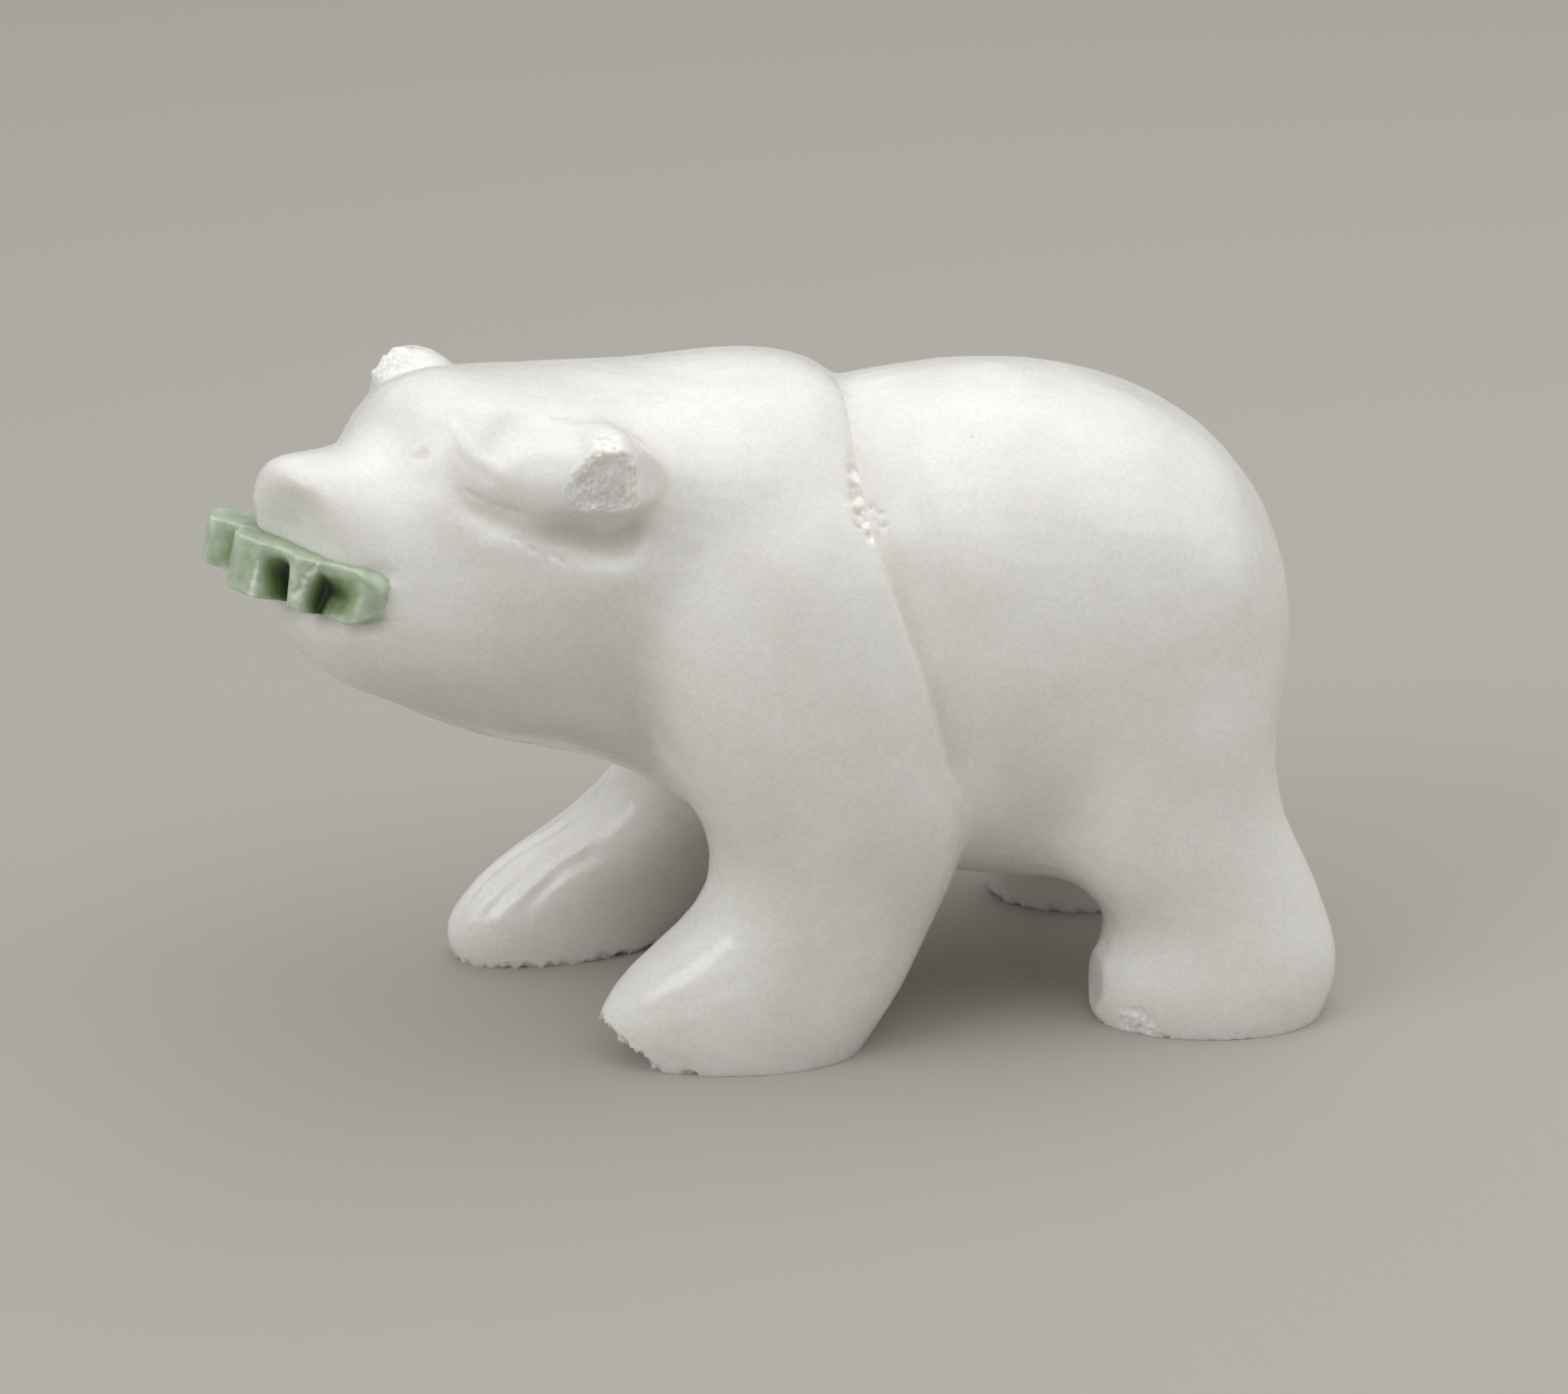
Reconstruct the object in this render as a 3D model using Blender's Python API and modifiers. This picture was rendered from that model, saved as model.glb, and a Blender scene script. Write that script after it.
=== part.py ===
"""A polar bear carved from one block of white quartz, with a nephrite fish crosswise in its mouth.

The bear walks towards -X with its head turned to its left, which is -Y, and stands on z = 0.
Two solids are made: the bear, and the fish that is let into a slot in its mouth.
"""

import math

import bmesh
import bpy
import numpy as np
from mathutils import Matrix

# Driving dimensions, in metres.
BEAR_LENGTH = 0.1188
FISH_LENGTH = 0.0231
FISH_THICKNESS = 0.0059
SLOT_CLEARANCE = 0.0003

# Colours, as sRGB bytes, and how rough each stone is polished.
QUARTZ_COLOUR = (240, 241, 235)
QUARTZ_ROUGHNESS = 0.22
NEPHRITE_COLOUR = (104, 122, 92)
NEPHRITE_ROUGHNESS = 0.38

# The tables below are in the carver's unit: a millimetre on a bear of this length.
DRAWN_LENGTH = 118.8
UNIT = BEAR_LENGTH / DRAWN_LENGTH

# How fine the solids are: sides of the voxels, triangles, and points round and along each loft.
VOXEL = 0.8 * UNIT
FISH_VOXEL = 0.3 * UNIT
BEAR_FACE_COUNT = 8600
FISH_FACE_COUNT = 900
RING_POINTS = 48
STATION_STEPS = 6

# How many steps of polishing each stage gets.
FRONT_STEPS = 44
REAR_STEPS = 50
WHOLE_STEPS = 3
FISH_STEPS = 20

# Each station of the trunk: x, top, bottom, half width, squareness.
TRUNK = (
    (58.4, 41.5, 37.5, 1.0, 2.0),
    (57.9, 48.5, 32.0, 8.0, 2.0),
    (56.4, 54.5, 27.0, 13.5, 2.1),
    (53.4, 59.4, 22.5, 18.5, 2.2),
    (48.5, 64.4, 18.8, 22.3, 2.2),
    (41.0, 68.6, 12.6, 24.5, 2.2),
    (32.0, 71.2, 12.0, 25.0, 2.2),
    (23.0, 72.0, 13.4, 25.0, 2.2),
    (14.0, 71.4, 15.0, 24.3, 2.2),
    (7.5, 70.4, 16.0, 23.0, 2.2),
    (-1.0, 67.0, 18.0, 20.0, 2.2),
    (-6.0, 50.0, 30.0, 10.0, 2.0),
)

# The neck leaves the withers straight forward, then bends to carry the head turned to one side.
WITHERS_X = -5.0
NECK_BEND_RADIUS = 58.0
HEAD_TURN = math.radians(25.0)

# Each station of the neck and head: distance forward of the withers, top, bottom, half width,
# squareness, and the share by which the top is narrower and the bottom wider.
HEAD = (
    (-17.5, 60.0, 45.0, 6.0, 2.0, 0.0),
    (-15.5, 68.0, 30.0, 16.0, 2.2, 0.0),
    (-11.0, 73.2, 22.0, 20.5, 2.2, -0.06),
    (-3.0, 74.8, 19.0, 21.4, 2.2, -0.16),
    (6.0, 74.3, 24.2, 20.0, 2.2, -0.24),
    (14.0, 74.8, 29.4, 18.6, 2.2, -0.26),
    (22.0, 76.0, 33.0, 17.6, 2.3, -0.18),
    (30.0, 77.2, 36.3, 16.8, 2.4, -0.04),
    (35.0, 77.2, 39.0, 15.6, 2.4, 0.02),
    (38.2, 76.0, 41.0, 14.6, 2.4, 0.08),
    (40.0, 73.2, 42.2, 13.8, 2.4, 0.12),
    (41.8, 71.7, 43.3, 13.0, 2.4, 0.16),
    (45.5, 71.7, 45.2, 11.4, 2.5, 0.18),
    (49.0, 72.0, 48.2, 9.4, 2.6, 0.16),
    (51.7, 72.3, 52.5, 7.6, 2.8, 0.12),
    (53.3, 72.1, 58.2, 6.4, 2.8, 0.06),
    (54.0, 70.8, 62.0, 4.6, 2.4, 0.0),
)

# Each level of a leg: height, front x, back x, outer y, inner y, squareness.
FRONT_LEG = (
    (-4.0, -20.2, 7.2, 23.6, 7.6, 2.0),
    (0.0, -21.0, 9.0, 24.0, 7.4, 2.0),
    (3.0, -22.8, 10.7, 24.6, 7.2, 2.1),
    (6.0, -21.7, 12.3, 24.8, 7.2, 2.3),
    (9.0, -19.7, 13.5, 25.0, 7.2, 2.3),
    (12.0, -16.5, 14.8, 25.0, 7.0, 2.2),
    (15.5, -12.4, 16.0, 25.2, 6.4, 2.2),
    (20.0, -9.6, 18.0, 25.6, 5.0, 2.3),
    (25.0, -10.0, 19.0, 26.2, 3.0, 2.5),
    (31.0, -12.5, 18.4, 26.8, 0.0, 2.7),
    (40.0, -16.0, 16.0, 26.9, 0.0, 2.8),
    (50.0, -17.0, 13.6, 25.8, 0.0, 2.8),
    (60.0, -14.5, 11.0, 22.2, 0.0, 2.8),
    (68.0, -9.0, 8.6, 15.0, 0.0, 2.6),
    (72.0, -3.0, 4.0, 8.0, 4.0, 2.2),
)
HIND_LEG = (
    (-4.0, 34.0, 59.8, 26.4, 8.0, 2.1),
    (0.0, 33.0, 60.8, 26.9, 7.6, 2.1),
    (3.0, 32.4, 61.9, 27.2, 7.4, 2.2),
    (7.0, 33.4, 62.2, 27.0, 7.4, 2.3),
    (11.0, 35.6, 61.1, 26.4, 7.4, 2.2),
    (16.0, 31.8, 59.1, 25.8, 6.6, 2.2),
    (22.0, 26.0, 56.4, 25.6, 4.0, 2.2),
    (30.0, 25.0, 54.4, 25.4, 2.0, 2.2),
    (40.0, 30.0, 54.4, 24.4, 2.0, 2.2),
    (50.0, 34.0, 52.0, 20.0, 4.0, 2.0),
    (56.0, 40.0, 46.0, 14.0, 8.0, 2.0),
)

# How far each foot is forward of the table, the height where that has faded out, and the toe-in.
NEAR_STEP = (1.2, 16.0, 0.04)
FAR_STEP = (14.5, 37.0, 0.2)
NEAR_HIND_STEP = (0.0, 30.0, 0.0)
FAR_HIND_STEP = (3.0, 26.0, 0.0)
TOE_NARROWING = 0.2
TOE_HEIGHT = 14.0

# Places on the head: distance forward of the withers, distance to the side, height. The ears have
# their radii and squareness too.
NEAR_EAR = ((23.9, -15.8, 69.0), (4.8, 5.4, 5.6), 2.5)
FAR_EAR = ((26.7, 15.8, 69.6), (5.2, 5.4, 6.2), 2.0)
SCOOP_AT = (33.4, 17.4, 78.0)
SCOOP_RADII = (7.4, 8.6, 8.6)
FAR_SIDE_SKEW = (3.2, 0.0, 0.8)
NECK_HOLLOW_AT = (-22.4, 28.6, 35.0)
NECK_HOLLOW_RADII = (12.0, 11.0, 13.0)

# The groove under brow and ear: forward, aside, height, radius of the round tool.
GROOVE = (
    (41.2, 10.2, 71.0, 0.6),
    (39.2, 12.9, 68.2, 1.7),
    (36.0, 15.4, 66.0, 2.3),
    (32.0, 17.2, 64.4, 2.7),
    (28.6, 18.4, 62.8, 3.2),
    (25.0, 19.2, 61.8, 3.5),
    (21.8, 19.3, 62.0, 3.4),
    (19.6, 19.6, 62.8, 2.6),
    (18.2, 20.0, 63.6, 1.2),
)

# The fish, seen along its thickness: distance towards the bear's right from the fish's nose, and
# distance forward. It goes round from the nose along the front, with fin and tail, and back.
FISH_OUTLINE = (
    (-1.2, -1.8),
    (-1.1, -0.4),
    (-0.2, 0.7),
    (1.4, 0.9),
    (3.3, 1.1),
    (4.5, 1.9),
    (4.3, 4.3),
    (5.8, 4.9),
    (7.4, 4.2),
    (8.6, 3.1),
    (9.6, 3.5),
    (10.5, 5.0),
    (13.8, 6.0),
    (15.2, 5.0),
    (15.8, 3.8),
    (17.1, 3.5),
    (19.2, 4.8),
    (20.6, 4.4),
    (22.2, 2.4),
    (22.1, 0.0),
    (19.4, -1.4),
    (16.0, -2.2),
    (10.0, -2.8),
    (4.0, -2.9),
    (0.4, -2.9),
    (-0.5, -2.6),
)
FISH_SCALE = FISH_LENGTH / UNIT / np.ptp(FISH_OUTLINE, axis=0)[0]
TAIL_THINNING = 0.45
NOSE_LENGTH = 2.6
FISH_AT = (49.3, -10.0, 59.0)
FISH_TURN = math.radians(11.0)
FISH_TILT = math.radians(13.0)
FISH_RISE = math.radians(5.0)

# The slot hugs the fish's nose, which comes in from the front, and is a box beyond the nose.
NOSE_WAY = 2.5 * UNIT
SLOT_REACH = 34.0 * UNIT


def eased(rows, steps):
    """The rows of a table with steps - 1 rows eased in between each two by a Catmull-Rom curve."""
    rows = np.array(rows, float)
    ends = np.vstack([2 * rows[0] - rows[1], rows, 2 * rows[-1] - rows[-2]])
    t = np.linspace(0.0, 1.0, steps, endpoint=False)[:, None]
    spans = [
        0.5 * (2 * b + (c - a) * t + (2 * a - 5 * b + 4 * c - d) * t**2 + (3 * b - a - 3 * c + d) * t**3)
        for a, b, c, d in zip(ends, ends[1:], ends[2:], ends[3:])
    ]
    return np.vstack([*spans, rows[-1:]])


def faded(share):
    """Eases a share from 0 to 1, level at both ends."""
    share = np.clip(share, 0.0, 1.0)
    return share * share * (3.0 - 2.0 * share)


def ring(centre, side, rise, half_width, half_height, squareness, narrowing=0.0):
    """Points round one section, a superellipse whose top can be narrower than its bottom."""
    angle = np.linspace(0.0, 2.0 * math.pi, RING_POINTS, endpoint=False)
    power = 2.0 / squareness
    across = np.sign(np.cos(angle)) * np.abs(np.cos(angle)) ** power * half_width
    up = np.sign(np.sin(angle)) * np.abs(np.sin(angle)) ** power
    across = across * (1.0 - narrowing * up)
    return np.array(centre) + np.outer(across, side) + np.outer(up * half_height, rise)


def loft(rings):
    """Points and faces of a closed skin through rings of points."""
    count = len(rings)
    faces = []
    for k in range(count - 1):
        for i in range(RING_POINTS):
            j = (i + 1) % RING_POINTS
            low, high = k * RING_POINTS, (k + 1) * RING_POINTS
            faces.append((low + i, low + j, high + j, high + i))
    faces.append(tuple(reversed(range(RING_POINTS))))
    faces.append(tuple(range((count - 1) * RING_POINTS, count * RING_POINTS)))
    return np.vstack(rings), faces


def trunk():
    rings = []
    for x, top, bottom, half_width, squareness in eased(TRUNK, STATION_STEPS):
        centre = (x, 0.0, (top + bottom) / 2)
        rings.append(ring(centre, (0, 1, 0), (0, 0, 1), half_width, (top - bottom) / 2, squareness))
    return loft(rings)


def neck_at(forward):
    """Plan position and heading of the neck's centre line, that far forward of the withers."""
    turn = max(0.0, min(forward / NECK_BEND_RADIUS, HEAD_TURN))
    straight = forward - turn * NECK_BEND_RADIUS
    x = WITHERS_X - NECK_BEND_RADIUS * math.sin(turn) - straight * math.cos(turn)
    y = -NECK_BEND_RADIUS * (1.0 - math.cos(turn)) - straight * math.sin(turn)
    return x, y, turn


def on_head(forward, aside, height):
    """A place given in the head's own directions; aside is positive on the bear's right."""
    x, y, turn = neck_at(forward)
    return np.array((x - aside * math.sin(turn), y + aside * math.cos(turn), height))


def head():
    rings = []
    for forward, top, bottom, half_width, squareness, narrowing in eased(HEAD, STATION_STEPS):
        x, y, turn = neck_at(forward)
        side = (-math.sin(turn), math.cos(turn), 0)
        centre = (x, y, (top + bottom) / 2)
        rings.append(ring(centre, side, (0, 0, 1), half_width, (top - bottom) / 2, squareness, narrowing))
    return loft(rings)


def leg(levels, side, step):
    """A leg on one side, -1 the bear's left or 1 its right."""
    forward, fade_height, toe_in = step
    rings = []
    for z, front, back, outer, inner, squareness in eased(levels, STATION_STEPS):
        share = float(faded(1.0 - z / fade_height))
        centre = ((front + back) / 2 - forward * share, side * (outer + inner) / 2, z)
        along = (1.0, side * toe_in * share, 0.0)
        narrowing = -TOE_NARROWING * float(faded(1.0 - z / TOE_HEIGHT))
        half_width, half_length = (outer - inner) / 2, (back - front) / 2
        rings.append(ring(centre, (0, 1, 0), along, half_width, half_length, squareness, narrowing))
    return loft(rings)


def paired(side, place):
    """A place on one side of the head, -1 its left or 1 its right, which the carver set askew."""
    forward, aside, height = np.array(place) + np.array(FAR_SIDE_SKEW) * (side > 0)
    return on_head(forward, side * aside, height)


def ball(centre, radii, squareness=2.0):
    """A closed ellipsoid, or a squarer body."""
    form = bmesh.new()
    bmesh.ops.create_uvsphere(form, u_segments=48, v_segments=24, radius=1.0)
    form.verts.index_update()
    points = np.array([vert.co for vert in form.verts])
    faces = [tuple(vert.index for vert in face.verts) for face in form.faces]
    form.free()
    return centre + np.sign(points) * np.abs(points) ** (2.0 / squareness) * radii, faces


def as_mesh(name, skins):
    """One mesh of several skins."""
    points, faces = [], []
    for skin_points, skin_faces in skins:
        offset = sum(len(part) for part in points)
        points.append(skin_points * UNIT)
        faces += [tuple(i + offset for i in face) for face in skin_faces]
    mesh = bpy.data.meshes.new(name)
    mesh.from_pydata(np.vstack(points), [], faces)
    form = bmesh.new()
    form.from_mesh(mesh)
    bmesh.ops.recalc_face_normals(form, faces=form.faces)
    form.to_mesh(mesh)
    form.free()
    return mesh


def baked(mesh, kind, **settings):
    """The mesh after one modifier."""
    carrier = bpy.data.objects.new("carrier", mesh)
    bpy.context.scene.collection.objects.link(carrier)
    modifier = carrier.modifiers.new("step", kind)
    for name, value in settings.items():
        setattr(modifier, name, value)
    graph = bpy.context.evaluated_depsgraph_get()
    result = bpy.data.meshes.new_from_object(carrier.evaluated_get(graph))
    bpy.data.objects.remove(carrier)
    return result


def places(mesh):
    """The mesh's points, in the carver's unit."""
    values = np.empty(len(mesh.vertices) * 3, np.float32)
    mesh.vertices.foreach_get("co", values)
    return values.reshape(-1, 3).astype(float) / UNIT


def skin(mesh):
    """The mesh's points and faces."""
    return places(mesh), [tuple(face.vertices) for face in mesh.polygons]


def put(mesh, points):
    mesh.vertices.foreach_set("co", (points * UNIT).astype(np.float32).ravel())
    mesh.update()


def relaxed(mesh, steps, softness):
    """Draws each point towards its neighbours, by a share that softness gives for each place."""
    edges = np.empty(len(mesh.edges) * 2, np.int32)
    mesh.edges.foreach_get("vertices", edges)
    near, far = edges.reshape(-1, 2).T
    points = places(mesh)
    count = np.bincount(edges, minlength=len(points))[:, None]
    share = softness(points)[:, None]
    for _ in range(steps):
        total = np.zeros_like(points)
        for k in range(3):
            total[:, k] = np.bincount(near, points[far, k], len(points))
            total[:, k] += np.bincount(far, points[near, k], len(points))
        points += share * (total / count - points)
    put(mesh, points)


def fused(name, skins):
    """One closed skin round several."""
    return baked(as_mesh(name, skins), "REMESH", mode="VOXEL", voxel_size=VOXEL)


def groove_tool(side):
    """The body that a round tool sweeps along the groove."""
    path = bpy.data.curves.new("groove_tool", "CURVE")
    path.dimensions = "3D"
    path.bevel_depth = UNIT
    path.bevel_resolution = 6
    path.use_fill_caps = True
    stations = eased(GROOVE, STATION_STEPS)
    spline = path.splines.new("POLY")
    spline.points.add(len(stations) - 1)
    for point, (forward, aside, height, radius) in zip(spline.points, stations):
        point.co = (*(paired(side, (forward, aside, height)) * UNIT), 1.0)
        point.radius = radius
    return solid(path)


def solid(curve):
    """A closed mesh of a curve whose caps are loose."""
    carrier = bpy.data.objects.new("carrier", curve)
    bpy.context.scene.collection.objects.link(carrier)
    graph = bpy.context.evaluated_depsgraph_get()
    mesh = bpy.data.meshes.new_from_object(carrier.evaluated_get(graph))
    bpy.data.objects.remove(carrier)
    form = bmesh.new()
    form.from_mesh(mesh)
    bmesh.ops.remove_doubles(form, verts=form.verts, dist=1e-6)
    bmesh.ops.recalc_face_normals(form, faces=form.faces)
    form.to_mesh(mesh)
    form.free()
    return mesh


def cut(mesh, tool_mesh, place=Matrix.Identity(4)):
    """The mesh less the tool's body."""
    tool = bpy.data.objects.new("tool", tool_mesh)
    bpy.context.scene.collection.objects.link(tool)
    tool.matrix_world = place
    mesh = baked(mesh, "BOOLEAN", operation="DIFFERENCE", solver="EXACT", object=tool)
    bpy.data.objects.remove(tool)
    return mesh


def thinned(mesh, triangles):
    """The mesh with about that many triangles."""
    ratio = triangles / sum(len(face.vertices) - 2 for face in mesh.polygons)
    return baked(mesh, "DECIMATE", ratio=ratio)


def stood(mesh):
    """The mesh cut flat at the floor, which leaves four soles."""
    form = bmesh.new()
    form.from_mesh(mesh)
    geometry = form.verts[:] + form.edges[:] + form.faces[:]
    cut_plane = bmesh.ops.bisect_plane(
        form, geom=geometry, dist=1e-7, plane_co=(0, 0, 0), plane_no=(0, 0, -1), clear_outer=True
    )
    rims = [item for item in cut_plane["geom_cut"] if isinstance(item, bmesh.types.BMEdge)]
    for vert in {vert for rim in rims for vert in rim.verts}:
        vert.co.z = 0.0
    bmesh.ops.edgeloop_fill(form, edges=rims)
    bmesh.ops.recalc_face_normals(form, faces=form.faces)
    form.to_mesh(mesh)
    form.free()
    return mesh


def fish_place():
    """Where the fish lies: +X along it, +Y forward out of the mouth, +Z through its thickness."""
    _, _, turn = neck_at(FISH_AT[0])
    along = np.array((-math.sin(turn), math.cos(turn), 0.0))
    forward = np.array((-math.cos(turn), -math.sin(turn), 0.0))
    up = np.array((0.0, 0.0, 1.0))
    turned = along * math.cos(FISH_TURN) + forward * math.sin(FISH_TURN)
    forward = forward * math.cos(FISH_TURN) - along * math.sin(FISH_TURN)
    along = turned * math.cos(FISH_RISE) + up * math.sin(FISH_RISE)
    up = up * math.cos(FISH_RISE) - turned * math.sin(FISH_RISE)
    ahead = forward * math.cos(FISH_TILT) + up * math.sin(FISH_TILT)
    thick = up * math.cos(FISH_TILT) - forward * math.sin(FISH_TILT)
    place = Matrix((along, ahead, thick)).transposed().to_4x4()
    place.translation = on_head(*FISH_AT) * UNIT
    return place


def slot_tool():
    """The box that opens the mouth, as deep as the fish's back and as high as the fish."""
    tip, back = np.min(FISH_OUTLINE, axis=0) * FISH_SCALE * UNIT
    start, depth = tip + NOSE_LENGTH * FISH_SCALE * UNIT, back - SLOT_CLEARANCE
    middle = Matrix.Translation((start + SLOT_REACH / 2, depth + SLOT_REACH / 2, 0.0))
    size = Matrix.Diagonal((SLOT_REACH, SLOT_REACH, FISH_THICKNESS + 2 * SLOT_CLEARANCE, 1.0))
    mesh = bpy.data.meshes.new("slot_tool")
    form = bmesh.new()
    bmesh.ops.create_cube(form, size=1.0, matrix=middle @ size)
    form.to_mesh(mesh)
    form.free()
    return mesh


def front_softness(points):
    """How far the front is polished: the head keeps its form more than shoulders, chest and legs."""
    head_share = faded((points[:, 2] - 40.0) / 15.0) * faded((-30.0 - points[:, 0]) / 10.0)
    return 0.5 - 0.35 * head_share


def fish_softness(points):
    """How far the fish is polished: its nose more than its fin and tail, which keep their edges."""
    return 0.35 - 0.23 * faded(points[:, 0] / FISH_SCALE / 4.0)


def even_softness(points):
    return np.full(len(points), 0.5)


def front_half():
    """Neck, head and front legs, with a hollow on each side where the neck meets the leg."""
    skins = [head(), leg(FRONT_LEG, -1, NEAR_STEP), leg(FRONT_LEG, 1, FAR_STEP)]
    mesh = fused("front_half", skins)
    ahead, aside, height = NECK_HOLLOW_AT
    for side in (-1, 1):
        hollow = ball((ahead, side * aside, height), NECK_HOLLOW_RADII)
        mesh = cut(mesh, as_mesh("hollow_tool", [hollow]))
    mesh = baked(mesh, "REMESH", mode="VOXEL", voxel_size=VOXEL)
    relaxed(mesh, FRONT_STEPS, front_softness)
    return mesh


def rear_half():
    """Trunk and hind legs."""
    skins = [trunk(), leg(HIND_LEG, -1, NEAR_HIND_STEP), leg(HIND_LEG, 1, FAR_HIND_STEP)]
    mesh = fused("rear_half", skins)
    relaxed(mesh, REAR_STEPS, even_softness)
    return mesh


def bear():
    """The two halves meet in the crease behind the shoulder; ears, ear scoops and grooves follow."""
    ears = [ball(on_head(*place), radii, squareness) for place, radii, squareness in (NEAR_EAR, FAR_EAR)]
    mesh = fused("bear", [skin(front_half()), skin(rear_half()), *ears])
    relaxed(mesh, WHOLE_STEPS, even_softness)
    for side in (-1, 1):
        mesh = cut(mesh, as_mesh("scoop_tool", [ball(paired(side, SCOOP_AT), SCOOP_RADII)]))
        mesh = cut(mesh, groove_tool(side))
    mesh = baked(mesh, "REMESH", mode="VOXEL", voxel_size=VOXEL)
    relaxed(mesh, WHOLE_STEPS, even_softness)
    mesh = stood(thinned(mesh, BEAR_FACE_COUNT))
    hug = baked(fish(), "DISPLACE", strength=SLOT_CLEARANCE, mid_level=0.0)
    mesh = cut(mesh, hug, fish_place())
    mesh = cut(mesh, hug, fish_place() @ Matrix.Translation((0.0, NOSE_WAY, 0.0)))
    return cut(mesh, slot_tool(), fish_place())


def fish():
    """A slab of the outline's plan, with round rims, a round nose and a tail that thins from below."""
    outline = bpy.data.curves.new("fish_outline", "CURVE")
    outline.dimensions = "2D"
    outline.fill_mode = "BOTH"
    outline.extrude = FISH_THICKNESS / 2
    spline = outline.splines.new("POLY")
    spline.points.add(len(FISH_OUTLINE) - 1)
    spline.use_cyclic_u = True
    for point, (along, ahead) in zip(spline.points, FISH_OUTLINE):
        point.co = (along * FISH_SCALE * UNIT, ahead * FISH_SCALE * UNIT, 0.0, 1.0)
    mesh = baked(solid(outline), "REMESH", mode="VOXEL", voxel_size=FISH_VOXEL)
    points = places(mesh)
    thinning = TAIL_THINNING * faded((points[:, 0] / FISH_SCALE - 12.0) / 10.0)
    points[:, 2] *= np.where(points[:, 2] < 0.0, 1.0 - thinning, 1.0)
    from_nose = (points[:, 0] - points[:, 0].min()) / FISH_SCALE
    points[:, 2] *= np.sqrt(1.0 - 0.85 * np.clip(1.0 - from_nose / NOSE_LENGTH, 0.0, 1.0) ** 2)
    put(mesh, points)
    relaxed(mesh, FISH_STEPS, fish_softness)
    return thinned(mesh, FISH_FACE_COUNT)


def linear(colour):
    """An sRGB colour's bytes as the linear values that shading uses."""
    share = np.array(colour) / 255.0
    return (*np.where(share <= 0.04045, share / 12.92, ((share + 0.055) / 1.055) ** 2.4), 1.0)


def stone(name, colour, roughness):
    material = bpy.data.materials.new(name)
    material.use_nodes = True
    shader = material.node_tree.nodes["Principled BSDF"]
    shader.inputs["Base Color"].default_value = linear(colour)
    shader.inputs["Roughness"].default_value = roughness
    shader.inputs["Metallic"].default_value = 0.0
    return material


def piece(name, mesh, material, place):
    """One solid of the carving, as an object with its stone."""
    mesh.materials.clear()
    mesh.materials.append(material)
    mesh.shade_smooth()
    mesh.set_sharp_from_angle(angle=math.radians(40.0))
    made = bpy.data.objects.new(name, mesh)
    made.matrix_world = place
    bpy.data.collections["quartz_polar_bear"].objects.link(made)
    return made


def main():
    for obj in list(bpy.data.objects):
        bpy.data.objects.remove(obj)
    carving = bpy.data.collections.new("quartz_polar_bear")
    bpy.context.scene.collection.children.link(carving)
    quartz = stone("white_quartz", QUARTZ_COLOUR, QUARTZ_ROUGHNESS)
    nephrite = stone("nephrite", NEPHRITE_COLOUR, NEPHRITE_ROUGHNESS)
    pieces = [
        piece("polar_bear", bear(), quartz, Matrix.Identity(4)),
        piece("jade_fish", fish(), nephrite, fish_place()),
    ]
    bpy.context.view_layer.update()
    corners = np.array([made.matrix_world @ vert.co for made in pieces for vert in made.data.vertices])
    middle = (corners.min(axis=0) + corners.max(axis=0)) / 2
    for made in pieces:
        made.matrix_world = Matrix.Translation((-middle[0], -middle[1], 0.0)) @ made.matrix_world


main()
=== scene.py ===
"""A polar bear carved from white quartz, with a nephrite fish in its mouth: the visible surfaces."""

import math

import bmesh
import bpy
import numpy as np
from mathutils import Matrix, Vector
from mathutils.bvhtree import BVHTree


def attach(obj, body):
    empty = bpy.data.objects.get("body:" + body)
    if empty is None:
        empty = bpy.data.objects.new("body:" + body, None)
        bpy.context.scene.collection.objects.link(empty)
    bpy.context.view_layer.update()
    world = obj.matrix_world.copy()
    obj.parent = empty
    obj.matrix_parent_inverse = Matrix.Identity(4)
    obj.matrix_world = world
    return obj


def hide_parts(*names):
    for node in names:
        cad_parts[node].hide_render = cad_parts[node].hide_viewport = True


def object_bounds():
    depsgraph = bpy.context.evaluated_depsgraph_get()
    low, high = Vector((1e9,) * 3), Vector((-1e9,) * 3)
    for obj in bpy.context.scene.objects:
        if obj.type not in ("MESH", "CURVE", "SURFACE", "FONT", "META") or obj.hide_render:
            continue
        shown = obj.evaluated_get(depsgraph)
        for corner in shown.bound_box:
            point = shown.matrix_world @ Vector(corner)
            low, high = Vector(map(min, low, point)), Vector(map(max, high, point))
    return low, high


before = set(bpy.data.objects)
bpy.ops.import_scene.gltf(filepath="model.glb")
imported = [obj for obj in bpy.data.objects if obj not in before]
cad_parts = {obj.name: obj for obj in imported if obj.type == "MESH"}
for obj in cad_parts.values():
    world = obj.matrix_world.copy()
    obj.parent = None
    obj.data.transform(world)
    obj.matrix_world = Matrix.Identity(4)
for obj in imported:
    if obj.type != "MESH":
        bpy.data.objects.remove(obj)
cad_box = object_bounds()

MM = 0.001

# Both stones are worked as fine meshes. Places, depths and widths are in millimetres: x runs from the
# head to the tail, y from the near side to the far side, and z up from the soles.
BEAR_VOXEL = 0.33
BEAR_ROUNDS = 26
BEAR_TRIANGLES = 195000
FISH_VOXEL = 0.13
FISH_ROUNDS = 5
FISH_TRIANGLES = 70000
# Smoothing draws a point this far towards its neighbours, and then back by this part of that.
PULL = 0.5
BACK = -1.02
# How far the soles are drawn down for the smoothing, so that they keep their edges.
SOLE_DRAW = 4.0
# The polish is wavy, as a hand leaves it: how deep and how long the waves are.
WAVE_DEPTH = 0.05
WAVE_LENGTH = 9.0

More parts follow.
